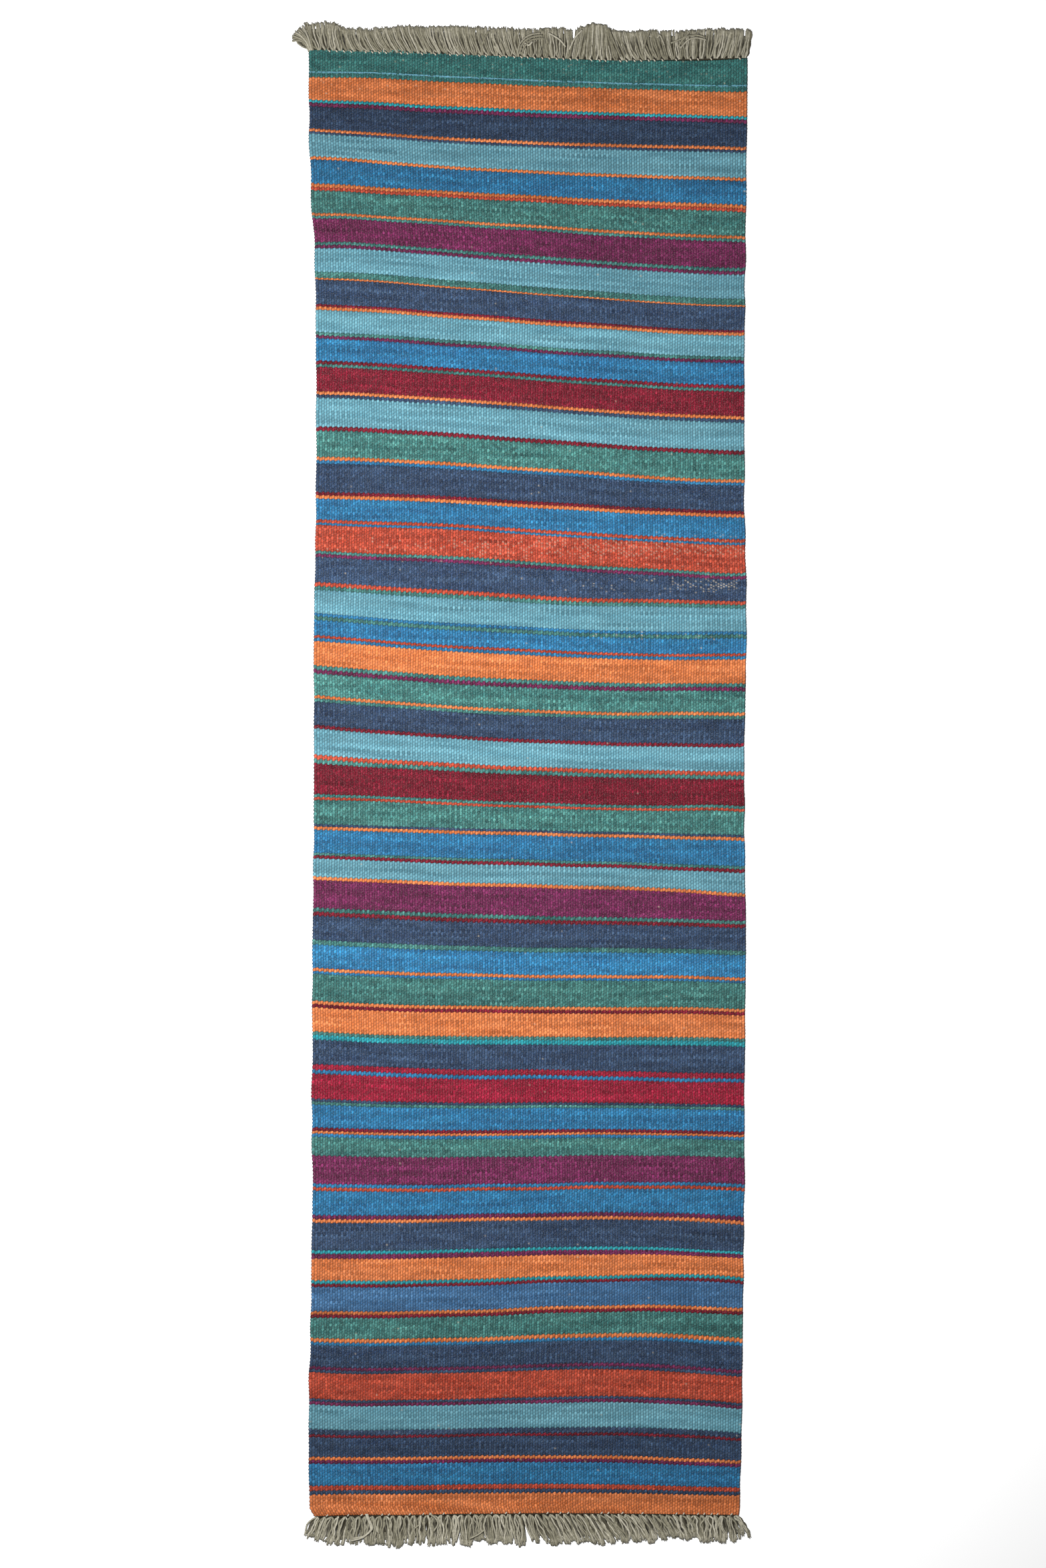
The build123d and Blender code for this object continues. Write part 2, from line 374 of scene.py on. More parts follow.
row_lines = []  # the four crossings of each half pick
pick_owner = []  # the CAD node each pick belongs to
for node_name, crossings in sleeves:
    far_line, near_line = crossings[:, 0], crossings[:, 1]
    picks = max(2, round((far_line[1, 1] - near_line[1, 1]) / PICK))
    for half in range(2 * picks):
        share = half / (2 * picks)
        row_lines.append((1 - share) * far_line + share * near_line)
    pick_owner += [node_name] * picks
row_lines.append(sleeves[-1][1][:, 1])
row_lines = np.array(row_lines)
PICKS = len(pick_owner)
ROWS = 2 * PICKS + 1

# the near left corner is turned in only over the last few picks
last_rows = np.arange(ROWS) - (ROWS - 1 - 2 * pick_owner.count(pick_owner[-1]))
last_share = np.clip(last_rows / last_rows[-1], 0, 1)
turned_in = np.clip((last_share - 0.62) / 0.38, 0, 1) - last_share
row_lines[:, 0, 0] += turned_in * (row_lines[-1, 0, 0] - row_lines[last_rows == 0, 0, 0])

# the lie of the picks changes smoothly along the rug
SOFTEN = 12
CORNER_ROWS = 40  # the near corners keep their shape
reference = row_lines[:, 1, 1].copy()
for crossing in range(4):
    slip = smoothed(row_lines[:, crossing, 1] - reference, SOFTEN)
    row_lines[:, crossing, 1] = reference + slip
    if crossing in (0, 3):
        edge = row_lines[:, crossing, 0]
        keep = np.clip((np.arange(ROWS) - (ROWS - CORNER_ROWS)) / 6, 0, 1)
        row_lines[:, crossing, 0] = keep * edge + (1 - keep) * smoothed(edge, SOFTEN)

# ---- the grid of the face: two rows a pick and three columns a rib ----
widths = 1.0 + 0.06 * rng.normal(size=RIBS)
widths[[0, -1]] += 0.25
widths[[1, -2]] += 0.1
valleys = np.concatenate([[0.0], np.cumsum(widths)]) / widths.sum()
rib_of_column = np.arange(RIBS * COLUMNS + 1) // COLUMNS
share_of_column = np.arange(RIBS * COLUMNS + 1) % COLUMNS / COLUMNS
across = np.interp(np.arange(RIBS * COLUMNS + 1) / COLUMNS, np.arange(RIBS + 1), valleys)
left, right = row_lines[:, 0, 0][:, None], row_lines[:, 3, 0][:, None]
grid_x = left + (right - left) * across[None, :]

grid_y = np.zeros_like(grid_x)
for c in range(4):
    basis = np.ones_like(grid_x)
    for other in range(4):
        if other != c:
            span = row_lines[:, c, 0] - row_lines[:, other, 0]
            basis *= (grid_x - row_lines[:, other, 0][:, None]) / span[:, None]
    grid_y += basis * row_lines[:, c, 1][:, None]

# here and there the picks were beaten unevenly: (x, y, reach across, reach along, shift along). Chosen
# from a program's map of how far the render was off the photo.
UNEVEN = [
    (-0.175, 1.012, 0.005, 0.005, 0.004),
    (-0.226, 0.962, 0.06, 0.03, 0.0018),
    (-0.235, 0.870, 0.09, 0.035, 0.0037),
    (-0.286, 0.764, 0.03, 0.06, -0.0028),
    (0.237, 0.426, 0.07, 0.02, -0.002),
    (-0.216, 0.337, 0.09, 0.035, -0.0025),
    (0.283, 0.290, 0.05, 0.022, -0.003),
    (0.200, 0.246, 0.10, 0.022, 0.003),
    (0.237, 0.107, 0.09, 0.03, 0.0035),
    (0.264, -0.031, 0.05, 0.02, 0.003),
    (-0.207, -0.031, 0.08, 0.02, 0.0025),
    (0.292, -0.156, 0.05, 0.03, -0.005),
    (0.126, -0.170, 0.10, 0.025, -0.002),
    (0.228, -0.401, 0.12, 0.025, -0.003),
    (-0.216, -0.401, 0.09, 0.025, 0.0025),
    (0.264, -0.632, 0.06, 0.022, -0.003),
    (0.255, -0.680, 0.08, 0.022, 0.0035),
    (0.237, -0.817, 0.10, 0.04, -0.003),
    (0.255, -0.947, 0.10, 0.05, -0.002),
]
for x, y, reach_x, reach_y, shift in UNEVEN:
    grid_y += shift * np.exp(-(((grid_x - x) / reach_x) ** 2) - ((grid_y - y) / reach_y) ** 2)

# the picks wander a little, and no two are packed quite alike
PHASES = 6.3  # random waves start anywhere in about a full turn
row_number = np.arange(ROWS)[:, None]
for _ in range(14):
    waves = rng.uniform(6, 60), rng.uniform(-0.03, 0.03)
    size = rng.uniform(0.06, 0.16) * MM
    grid_y += size * np.sin(waves[0] * grid_x + waves[1] * row_number + rng.uniform(0, PHASES))
    waves = rng.uniform(-3, 3), rng.uniform(0.01, 0.09)
    size = rng.uniform(0.04, 0.10) * MM
    grid_x += size * np.sin(waves[0] * grid_x + waves[1] * row_number + rng.uniform(0, PHASES))
grid_y += 0.1 * MM * rng.normal(size=(ROWS, 1))

# beads: rib parity and row give each grid point its place on a bead, from -1 to 1 along the rib
parity = rib_of_column % 2
is_valley = share_of_column == 0
phase = (row_number - (2 * parity + 1)[None, :]) % 4
near_middle = np.where(phase == 0, 0.0, np.where(phase == 2, 1.0, 0.5))  # 1 at a bead's end
crown = CLOTH - SHOULDER * (near_middle == 0.5) - GAP * (near_middle == 1.0)
bead_number = (row_number + 1 - 2 * parity[None, :]) // 4
bead_swell = rng.normal(size=(PICKS, RIBS + 1))
swell = bead_swell[np.clip(bead_number, 0, PICKS - 1), rib_of_column[None, :]]
grid_z = np.where(is_valley[None, :], CLOTH - VALLEY, crown + 0.09 * MM * swell * (near_middle < 1))
towards_right = is_valley[None, :] * np.where(phase == 0, -1.0, np.where(phase == 2, 1.0, 0.0))
grid_x += WAIST * towards_right
side = np.where(share_of_column > 0.5, -1.0, 1.0) * ~is_valley
grid_x += PINCH * side[None, :] * (near_middle == 1.0)
in_stripe = np.array([owner.endswith("_stripes") for owner in pick_owner])
slant = smoothed(np.where(np.append(np.repeat(in_stripe, 2), False), STRIPE_SLANT, SLANT), 1)[:, None]
grid_x += slant * ~is_valley[None, :] * np.where(phase == 3, 1.0, np.where(phase == 1, -1.0, 0.0))
grid_y -= slant * side[None, :] * (near_middle == 1.0)
for first_pick in range(1, PICKS):
    if pick_owner[first_pick] != pick_owner[first_pick - 1]:
        for row, bead_parity, towards in (
            (2 * first_pick - 1, first_pick % 2, -1),
            (2 * first_pick + 1, (first_pick + 1) % 2, 1),
        ):
            mine = (parity == bead_parity) & ~is_valley
            grid_y[row, mine] += towards * EDGE_EASE
            grid_y[row, is_valley] += towards * EDGE_CORNER_EASE
grid_x += 0.05 * MM * rng.normal(size=grid_x.shape)
grid_y += 0.07 * MM * rng.normal(size=grid_x.shape)

# the selvedges draw in and out a little, and the ribs next to them follow
for edge in (left, right):
    wander = np.zeros(ROWS)
    for _ in range(6):
        size = rng.uniform(0.1, 0.3) * MM
        wander += size * np.sin(rng.uniform(0.03, 0.14) * np.arange(ROWS) + rng.uniform(0, PHASES))
    grid_x += wander[:, None] * np.exp(-np.abs(grid_x - edge) / (15 * MM))

# the selvedges: the weft turns round the outermost warp, a little bulge for every turn
for column, outward in ((0, -1), (-1, 1)):
    turn = 0.2 * MM * (np.arange(ROWS) % 4 == 1) - 0.15 * MM * (np.arange(ROWS) % 4 == 3)
    grid_z[:, column] = CLOTH / 2
    grid_x[:, column] += outward * (turn + 0.1 * MM * rng.normal(size=ROWS))

# where the beating was slack the undyed warps show:
# (x, y, reach across, reach along, how often, how strongly)
SPECKLED = [
    (0.272, 0.275, 0.02, 0.0075, 0.7, 0.9),
    (0.235, 0.279, 0.035, 0.006, 0.4, 0.7),
    (0.14, 0.277, 0.1, 0.009, 0.22, 0.5),
    (0.17, 0.207, 0.1, 0.004, 0.25, 0.6),
    (0.15, 0.328, 0.25, 0.014, 0.65, 0.42),
    (-0.1, 0.985, 0.5, 0.014, 0.12, 0.1),
]

# cells: one rib wide and one pick long, between the middles of two picks
cell_rows = np.concatenate([[0], np.arange(1, ROWS, 2), [ROWS - 1]])
cell_index = np.arange(PICKS + 1)[:, None]
cell_parity = np.arange(RIBS)[None, :] % 2
bead_pick = np.where((cell_index - cell_parity) % 2 == 0, cell_index, cell_index - 1)
bead_pick = np.where(bead_pick < 0, bead_pick + 2, bead_pick)
bead_pick = np.where(bead_pick >= PICKS, bead_pick - 2, bead_pick)
names = sorted(set(pick_owner))
owner_of_pick = np.array([names.index(owner) for owner in pick_owner])
cell_owner = owner_of_pick[bead_pick]

WIDE = RIBS * COLUMNS + 1
top_points = np.stack([grid_x, grid_y, grid_z], axis=-1).reshape(-1, 3)
under = np.stack([grid_x, grid_y, np.full_like(grid_x, UNDERSIDE)], axis=-1)[cell_rows][:, ::COLUMNS].copy()
under[:, 0, 0] += SELVEDGE_TURN
under[:, -1, 0] -= SELVEDGE_TURN
all_points = np.concatenate([top_points, under.reshape(-1, 3)])
UNDER_START = len(top_points)


def top_at(row, column):
    return row * WIDE + column


def under_at(cell_row, rib):
    return UNDER_START + cell_row * (RIBS + 1) + rib


face_rows, face_columns = np.meshgrid(np.arange(ROWS - 1), np.arange(WIDE - 1), indexing="ij")
quads = np.stack(
    [
        top_at(face_rows + 1, face_columns),
        top_at(face_rows + 1, face_columns + 1),
        top_at(face_rows, face_columns + 1),
        top_at(face_rows, face_columns),
    ],
    axis=-1,
)
quad_cell = ((face_rows + 1) // 2, face_columns // COLUMNS)
quad_owner, quad_pick, quad_rib = cell_owner[quad_cell], bead_pick[quad_cell], quad_cell[1]

# marks on the face: up to 1 where a pale warp peeps out between two beads, and 1.21 to 1.8 along the
# thin blue yarn in the teal
quad_mark = np.zeros(quad_pick.shape)
middle_x = grid_x[:-1, :-1]
middle_y = grid_y[:-1, :-1]
chance = np.full(quad_pick.shape, 0.002)
strength = np.full(quad_pick.shape, 0.4)
for x, y, reach_x, reach_y, odds, paleness in SPECKLED:
    near = np.exp(-(((middle_x - x) / reach_x) ** 2) - ((middle_y - y) / reach_y) ** 2)
    chance += odds * near
    strength += (paleness - strength) * near
joint = np.where(near_middle[:-1, :-1] == 1.0, face_rows, face_rows + 1) // 2  # the dip between two beads
between_beads = (near_middle[:-1, :-1] == 1.0) | (near_middle[1:, :-1] == 1.0)
peeping = between_beads & (rng.random((ROWS, RIBS))[joint, quad_rib] < chance)
joint_strength = rng.uniform(0.5, 1.0, (ROWS, RIBS))[joint, quad_rib]
strength *= np.where(face_columns % COLUMNS == 1, 1.0, 0.3) * joint_strength
quad_mark[peeping] = strength[peeping]
blue_pick = pick_owner.index("band_02_orange") - 4
blue_line = (face_rows == 2 * blue_pick + 1) & (bead_swell[blue_pick][quad_rib] > -1.3)
quad_mark[blue_line] = rng.uniform(1.3, 1.8, quad_pick.shape)[blue_line]
beside_it = (face_rows == 2 * blue_pick + 2) & (rng.random(quad_pick.shape) < 0.6)
quad_mark[beside_it] = rng.uniform(1.21, 1.45, quad_pick.shape)[beside_it]


def rim(owner):
    """The underside and side walls that close the cells of one yarn: faces as lists of point numbers."""
    faces, tags = [], []
    for q, i in np.argwhere(cell_owner == owner):
        tag = (i, bead_pick[q, i], 0)
        far_row, near_row = int(cell_rows[q]), int(cell_rows[q + 1])
        corners = under_at(q, i), under_at(q, i + 1), under_at(q + 1, i + 1), under_at(q + 1, i)
        faces.append(list(corners))
        tags.append(tag)
        span = range(COLUMNS * i, COLUMNS * i + COLUMNS + 1)
        rows = range(far_row, near_row + 1)
        sides = [
            (
                q == 0 or cell_owner[q - 1, i] != owner,
                [corners[1], corners[0], *(top_at(far_row, m) for m in span)],
            ),
            (
                q == PICKS or cell_owner[q + 1, i] != owner,
                [corners[3], corners[2], *(top_at(near_row, m) for m in reversed(span))],
            ),
            (
                i == 0 or cell_owner[q, i - 1] != owner,
                [corners[0], corners[3], *(top_at(r, COLUMNS * i) for r in reversed(rows))],
            ),
            (
                i == RIBS - 1 or cell_owner[q, i + 1] != owner,
                [corners[2], corners[1], *(top_at(r, COLUMNS * i + COLUMNS) for r in rows)],
            ),
        ]
        for exposed, corners_of_side in sides:
            if exposed:
                faces.append(corners_of_side)
                tags.append(tag)
    return faces, tags


weft_pieces = {}
for owner, node_name in enumerate(names):
    mine = quad_owner == owner
    rim_faces, rim_tags = rim(owner)
    corners = np.concatenate([quads[mine].ravel(), np.array([c for face in rim_faces for c in face])])
    sizes = np.concatenate([np.full(mine.sum(), 4), [len(face) for face in rim_faces]]).astype(int)
    used, corners = np.unique(corners, return_inverse=True)
    tags = np.concatenate([np.stack([quad_rib[mine], quad_pick[mine], quad_mark[mine]], axis=-1), rim_tags])
    smooth = np.arange(len(sizes)) < mine.sum()
    stripes = node_name.endswith("_stripes")
    yarn = node_name.removesuffix("_stripes") if stripes else node_name.split("_", 2)[2]
    piece = make_piece(f"weft_{node_name}", all_points[used], corners, sizes, smooth, tags, wools[yarn])
    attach(piece, "root")
    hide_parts(node_name)
    lot = piece.data.attributes.new("lot", "FLOAT", "FACE")
    lot.data.foreach_set("value", np.full(len(sizes), LOTS.get(node_name, 1.0), dtype=np.float32))
    weft_pieces[node_name] = piece


# ---- fringes ----
def tubes(paths, wide, high, sides, lobes=0.0, twist=0.0):
    """Closed tubes along paths (tube, point, xyz). wide and high are half sizes at each point."""
    count, length, _ = paths.shape
    tangent = np.gradient(paths, axis=1)
    tangent /= np.linalg.norm(tangent, axis=2, keepdims=True) + 1e-9
    across_tube = np.cross(tangent, [0.0, 0.0, 1.0])
    across_tube /= np.linalg.norm(across_tube, axis=2, keepdims=True) + 1e-9
    upward = np.cross(across_tube, tangent)
    steps = np.linalg.norm(np.diff(paths, axis=1), axis=2)
    travelled = np.concatenate([np.zeros((count, 1)), np.cumsum(steps, axis=1)], axis=1)
    angle = np.arange(sides) * 2 * math.pi / sides
    ply = 1 + lobes * np.cos(2 * (angle[None, None, :] - twist * travelled[:, :, None]))
    points = (
        paths[:, :, None, :]
        + across_tube[:, :, None, :] * (wide[:, :, None] * ply * np.cos(angle))[..., None]
        + upward[:, :, None, :] * (high[:, :, None] * ply * np.sin(angle))[..., None]
    )
    ring = np.arange(sides)
    tube_i, point_i, side_i = np.meshgrid(np.arange(count), np.arange(length - 1), ring, indexing="ij")

    def at(tube, point, turn):
        return (tube * length + point) * sides + turn % sides

    walls = np.stack(
        [
            at(tube_i, point_i, side_i),
            at(tube_i, point_i, side_i + 1),
            at(tube_i, point_i + 1, side_i + 1),
            at(tube_i, point_i + 1, side_i),
        ],
        axis=-1,
    ).reshape(-1, 4)[:, ::-1]
    starts = at(np.arange(count)[:, None], 0, ring[None, :])
    ends = at(np.arange(count)[:, None], length - 1, ring[None, ::-1])
    along = np.broadcast_to(point_i / (length - 1), tube_i.shape)
    facing = np.sin(angle + math.pi / sides)[side_i]
    return {
        "points": points.reshape(-1, 3),
        "corners": np.concatenate([walls.ravel(), starts.ravel(), ends.ravel()]),
        "sizes": np.concatenate([np.full(len(walls), 4), np.full(2 * count, sides)]),
        "tube": np.concatenate([tube_i.ravel(), np.arange(count), np.arange(count)]),
        "along": np.concatenate([along.ravel(), np.zeros(count), np.ones(count)]),
        "up": np.concatenate([facing.ravel(), np.zeros(count), np.ones(count)]),
    }


def tassels(node_name, outward):
    """(base, tip) of every tassel of a fringe, left to right."""
    found = []
    for points in footprints(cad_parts[node_name]):
        by_reach = sorted(points, key=lambda p: outward * p[1])
        found.append((np.mean(by_reach[:2], axis=0), np.mean(by_reach[-3:], axis=0)))
    return sorted(found, key=lambda pair: pair[0][0])


def ease(t):
    t = np.clip(t, 0, 1)
    return t * t * (3 - 2 * t)


def lit(part, start=0.8):
    """How much of the light each face of a tube gets: little on its flanks, and evenly at its frayed end."""
    painted_light = np.clip(1.35 * part["up"], 0.03, 1.0)
    frayed = ease((part["along"] - start) / (1 - start))
    return painted_light + (0.85 - painted_light) * frayed * (part["up"] > 0)


def gathered(x, width, depth, pull):
    """Tips cling together in tufts: how far each tip is pulled sideways, and how far it stands out."""
    left_x, right_x = x.min() - 1 * MM, x.max() + 1 * MM
    edges = [left_x]
    while edges[-1] < right_x:
        edges.append(edges[-1] + rng.uniform(*width) * MM)
    edges = np.array(edges)
    tuft = np.searchsorted(edges, x) - 1
    middle = (edges[tuft] + edges[tuft + 1]) / 2
    half = (edges[tuft + 1] - edges[tuft]) / 2
    reach = rng.normal(size=len(edges))[tuft]
    share = (x - middle) / half
    return -pull * (x - middle), depth * MM * (0.35 * reach - share**2)


STRANDS = 4  # across a tassel
LENGTH = 20  # points along a strand
GROUPS = 4  # meshes in a fringe
FRAYS = 4  # loose ends of a strand
STRAND = 1.2 * MM  # half thickness of a two-ply strand
PLY_DEPTH = 0.12
PLY_TWIST = 1250.0
FULL_TURN = 6.28

# neck, middle, tip: a tassel's width at its base, half way and at its tip, as shares of the space it has
# open: the share of its length over which it opens    curve: how soon its lean sets in
# wave: how wavy its strands are    fray: how far its loose ends reach    shade: how light it is, as a factor on its painted light
# uneven, sway: how much the strands' lengths and the tassels' leans differ    flare: widening of the tips
# hitches: how many tassels show a knot's tail    gap, gap_out: width and place of the painted shadow (a dark tube) beside it
# start: how far outside the last pick its strands begin
HANG = {
    "far": {
        **{"neck": 0.45, "open": 0.16, "middle": 1.02, "tip": 1.0, "curve": 1.7, "wave": 0.55},
        **{"fray": (6, 8.6), "shade": 0.65, "uneven": 0.9 * MM, "sway": 0.4 * MM, "flare": 0.4},
        **{"hitches": 0.75, "gap": 0.3, "gap_out": 0.4 * MM, "start": -0.3 * MM},
    },
    "near": {
        **{"neck": 0.35, "open": 0.2, "middle": 1.15, "tip": 0.95, "curve": 1.15, "wave": 1.1},
        **{"fray": (5.5, 8.6), "shade": 0.88, "uneven": 1.2 * MM, "sway": 0.4 * MM, "flare": 0.1},
        **{"hitches": 0.45, "gap": 0.75, "gap_out": 0.6 * MM, "start": 1.2 * MM},
    },
}


def fringe(end, node_name, outward):
    """All the strands of one end, as groups of meshes."""
    hang = HANG[end]
    hanks = tassels(node_name, outward)
    bases, tips = np.array([h[0] for h in hanks]), np.array([h[1] for h in hanks])
    pitch = (bases[-1, 0] - bases[0, 0]) / (len(hanks) - 1)
    hank = np.repeat(np.arange(len(hanks)), STRANDS)
    count = len(hank)
    seat = np.tile(np.arange(STRANDS) - (STRANDS - 1) / 2, len(hanks)) / STRANDS
    base_x = bases[hank, 0]
    place = base_x + seat * pitch
    run_x = np.interp(place, bases[:, 0], tips[:, 0] - bases[:, 0])
    base_y = np.interp(place, bases[:, 0], bases[:, 1])
    run_y = np.interp(place, bases[:, 0], tips[:, 1]) - base_y
    from_left = place - bases[0, 0] + pitch / 2
    if end == "far":  # the outermost strands have fallen over sideways
        run_y *= np.interp(from_left, [0, 6 * MM, 14 * MM], [0.6, 0.95, 1.0])
        run_x -= np.interp(from_left, [0, 12 * MM], [2 * MM, 0])
        sideways, standing = gathered(place, (6, 14), 2.0, 0.05)
    else:
        sideways, standing = gathered(place, (8, 22), 5.5, 0.16)
    run_x += sideways + 0.5 * MM * rng.normal(size=count) + hang["sway"] * rng.normal(size=len(hanks))[hank]
    parted = np.zeros(count)
    for parting_x, opens in PARTINGS[end]:
        beside = place - parting_x * MM
        parted += opens * MM * np.sign(beside) * np.exp(-np.abs(beside) / (9 * MM))
    run_y += outward * (standing + hang["uneven"] * rng.normal(size=count) + 1.0 * MM)
    t = np.linspace(0, 1, LENGTH)[None, :]
    opening = ease(t / hang["open"])
    fan = hang["neck"] + (hang["middle"] - hang["neck"]) * opening
    fan = fan + (hang["tip"] - hang["middle"]) * ease((t - 0.4) / 0.6)
    lean = 1 - (1 - t) ** hang["curve"]

    def layer(shift, low, high):
        """One layer of strands, seated a share of a strand aside, between two levels above the floor."""
        wave = np.zeros((count, LENGTH))
        for cycles in (0.8, 1.6, 2.9):
            size = hang["wave"] / cycles * rng.normal(size=(count, 1)) * MM
            turn = rng.uniform(0, PHASES, (count, 1))
            wave += size * (np.sin(FULL_TURN * cycles * t + turn) - np.sin(turn))
        aside = seat + shift / STRANDS
        x = base_x[:, None] + aside[:, None] * pitch * fan + lean * run_x[:, None] + wave
        x += parted[:, None] * ease((t - 0.45) / 0.55)
        y = base_y[:, None] + t * run_y[:, None]
        y += outward * (hang["start"] - (0 if end == "far" else 5 * MM) * (seat**2)[:, None]) * (1 - opening)
        level = rng.permuted(np.tile(np.arange(STRANDS), (len(hanks), 1)), axis=1).ravel() / STRANDS
        rise = np.sin(FULL_TURN * (t * 0.8 + rng.uniform(0, 1, (count, 1))))
        z = (low + (high - low) * level)[:, None] + 0.4 * MM * rise
        z = np.maximum(z - 0.5 * MM * ease((t - 0.6) / 0.4), 1.4 * STRAND)
        return np.stack([x, y, z], axis=-1)

    paths = layer(0.0, 1.7 * MM, 3.2 * MM)
    middle_paths = layer(0.5, 1.0 * MM, 1.6 * MM)

    # a flat layer under the strands, dark nearly to its end: painted shadow that shows through the gaps between
    # them
    lower_t = np.linspace(0, 1, 8)[None, :]
    lower_lean = 1 - (1 - lower_t) ** hang["curve"]
    lower_x = place[:, None] + lower_lean * run_x[:, None] + parted[:, None] * ease((lower_t - 0.45) / 0.55)
    lower_y = base_y[:, None] - outward * 3 * MM + lower_t * (run_y * 0.9)[:, None]
    lower_paths = np.stack([lower_x, lower_y, np.full_like(lower_x, 0.6 * MM)], axis=-1)

    covered = (place > place.min() + 6 * MM) & (place < place.max() - 6 * MM)
    for g in range(GROUPS):
        mine = (hank * GROUPS // len(hanks)) == g
        k = mine.sum()
        thick = STRAND * (1 + 0.1 * np.clip(rng.normal(size=(k, 1)), -2, 2))
        flare = ease((t - 0.65) / 0.35)
        wide = thick * (1 + hang["flare"] * flare)
        strands = tubes(paths[mine], wide, thick * (1 - 0.4 * flare), 8, PLY_DEPTH, PLY_TWIST)
        fill = tubes(middle_paths[mine], thick * (1.05 + 0.4 * flare), thick * (0.9 - 0.3 * flare), 6)
        hidden = mine & covered
        painted_shadow_layer = tubes(
            lower_paths[hidden], np.full((hidden.sum(), 8), 2.3 * MM), np.full((hidden.sum(), 8), 0.45 * MM), 6
        )
        # frayed tips
        ends = np.repeat(paths[mine], FRAYS, axis=0)
        heading = ends[:, -1] - ends[:, -4]
        heading /= np.linalg.norm(heading, axis=1, keepdims=True)
        across_tip = np.stack([-heading[:, 1], heading[:, 0], np.zeros(len(ends))], axis=-1)
        fray_t = np.linspace(0, 1, 5)[None, :, None]
        reach = rng.uniform(*hang["fray"], (len(ends), 1, 1)) * MM
        drift = rng.normal(size=(len(ends), 1, 1)) * MM
        offset = rng.normal(size=(len(ends), 1, 1)) * 0.6 * MM
        frays = ends[:, None, -4] + heading[:, None] * reach * fray_t
        frays = frays + across_tip[:, None] * (offset + drift * fray_t**2)
        frays[:, :, 2] = np.maximum(frays[:, :, 2] + rng.uniform(-0.8, 0.6, (len(ends), 1)) * MM, 0.9 * MM)
        thin = np.linspace(0.85, 0.5, 5)[None, :] * MM * np.ones((len(ends), 1))
        frayed = tubes(frays, thin, thin, 4)
        # each part with the light painted on its faces
        parts = [
            (strands, lit(strands)),
            # the middle layer is given less light than the top, least near the base: painted shade under the top
            # strands
            (fill, lit(fill, 0.7) * (0.2 + 0.7 * ease((fill["along"] - 0.45) / 0.45))),
            (painted_shadow_layer, 0.75 * ease((painted_shadow_layer["along"] - 0.5) / 0.4)),
            (frayed, np.full(len(frayed["sizes"]), 0.9)),
        ]
        for n in range(g * len(hanks) // GROUPS, (g + 1) * len(hanks) // GROUPS):
            if rng.random() < hang["hitches"]:
                # the knot's tail, laid over the first picks beside the tassel
                hx, hy = bases[n, 0] + (0.36 + 0.06 * rng.normal()) * pitch, bases[n, 1] + outward * 0.4 * MM
                slope = rng.uniform(1.6, 2.8) * MM
                hitch = np.array([(0, 0, 3.6), (0.5, -outward * 1.0, 4.3), (1.0, -outward * 1.9, 3.5)])
                hitch = np.array([hx, hy, 0]) + hitch * np.array([slope, 1.5 * MM, MM])
                tube = tubes(hitch[None], np.full((1, 3), 0.85 * MM), np.full((1, 3), 0.6 * MM), 8)
                tube["along"] = tube["along"] * 0 + 2.0
                parts.append((tube, lit(tube, 0.99)))
            # painted shadow between this tassel and the next: a short dark tube laid in the gap
            gap = np.array([(-0.5, 0, 0), (0, 0, 0), (0.5, 0, 0)]) * hang["gap"] * pitch
            gap += np.array([bases[n, 0] + 0.5 * pitch, bases[n, 1] + outward * hang["gap_out"], 3.1 * MM])
            if n + 1 < len(hanks):
                tube = tubes(gap[None], np.full((1, 3), 0.9 * MM), np.full((1, 3), 0.7 * MM), 6)
                parts.append((tube, np.zeros(len(tube["sizes"]))))
        for extra in EXTRAS[end]:
            middle = np.mean(extra, axis=0)[0] * MM
            if (hank[np.argmin(np.abs(place - middle))] * GROUPS // len(hanks)) == g:
                path = curved(extra)[None]
                round_size = np.full((1, path.shape[1]), 1.1 * STRAND)
                tube = tubes(path, round_size, round_size, 8, PLY_DEPTH, PLY_TWIST)
                parts.append((tube, lit(tube)))

        points, corners, sizes, tags = [], [], [], []
        start_point = number = 0
        for part, painted_light in parts:
            points.append(part["points"])
            corners.append(part["corners"] + start_point)
            sizes.append(part["sizes"])
            tags.append(np.stack([part["tube"] + number + 2000 * g, painted_light * hang["shade"], part["along"]], axis=-1))
            start_point += len(part["points"])
            number += int(part["tube"].max()) + 1
        sizes = np.concatenate(sizes)
        piece = make_piece(
            f"fringe_{end}_{g + 1}",
            np.concatenate(points),
            np.concatenate(corners),
            sizes,
            np.full(len(sizes), True),
            np.concatenate(tags),
            undyed_wool,
        )
        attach(piece, "root")
        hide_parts(node_name)
        fringe_pieces[end].append(piece)


def curved(points):
    """A smooth path in metres through a few points given in millimetres."""
    points = np.array(points, dtype=float) * MM
    u = np.linspace(0, len(points) - 1, LENGTH)
    i = np.clip(u.astype(int), 0, len(points) - 2)
    f = (u - i)[:, None]
    slopes = np.gradient(points, axis=0)
    a, b, da, db = points[i], points[i + 1], slopes[i], slopes[i + 1]
    return (
        (2 * f**3 - 3 * f**2 + 1) * a
        + (f**3 - 2 * f**2 + f) * da
        + (3 * f**2 - 2 * f**3) * b
        + (f**3 - f**2) * db
    )


# where the fringe parts: (x, how far each side leans away), in millimetres
PARTINGS = {"far": [(66, 3.5), (262, 1.0)], "near": [(-2, 3.0), (-88, 2.0), (196, 1.0)]}
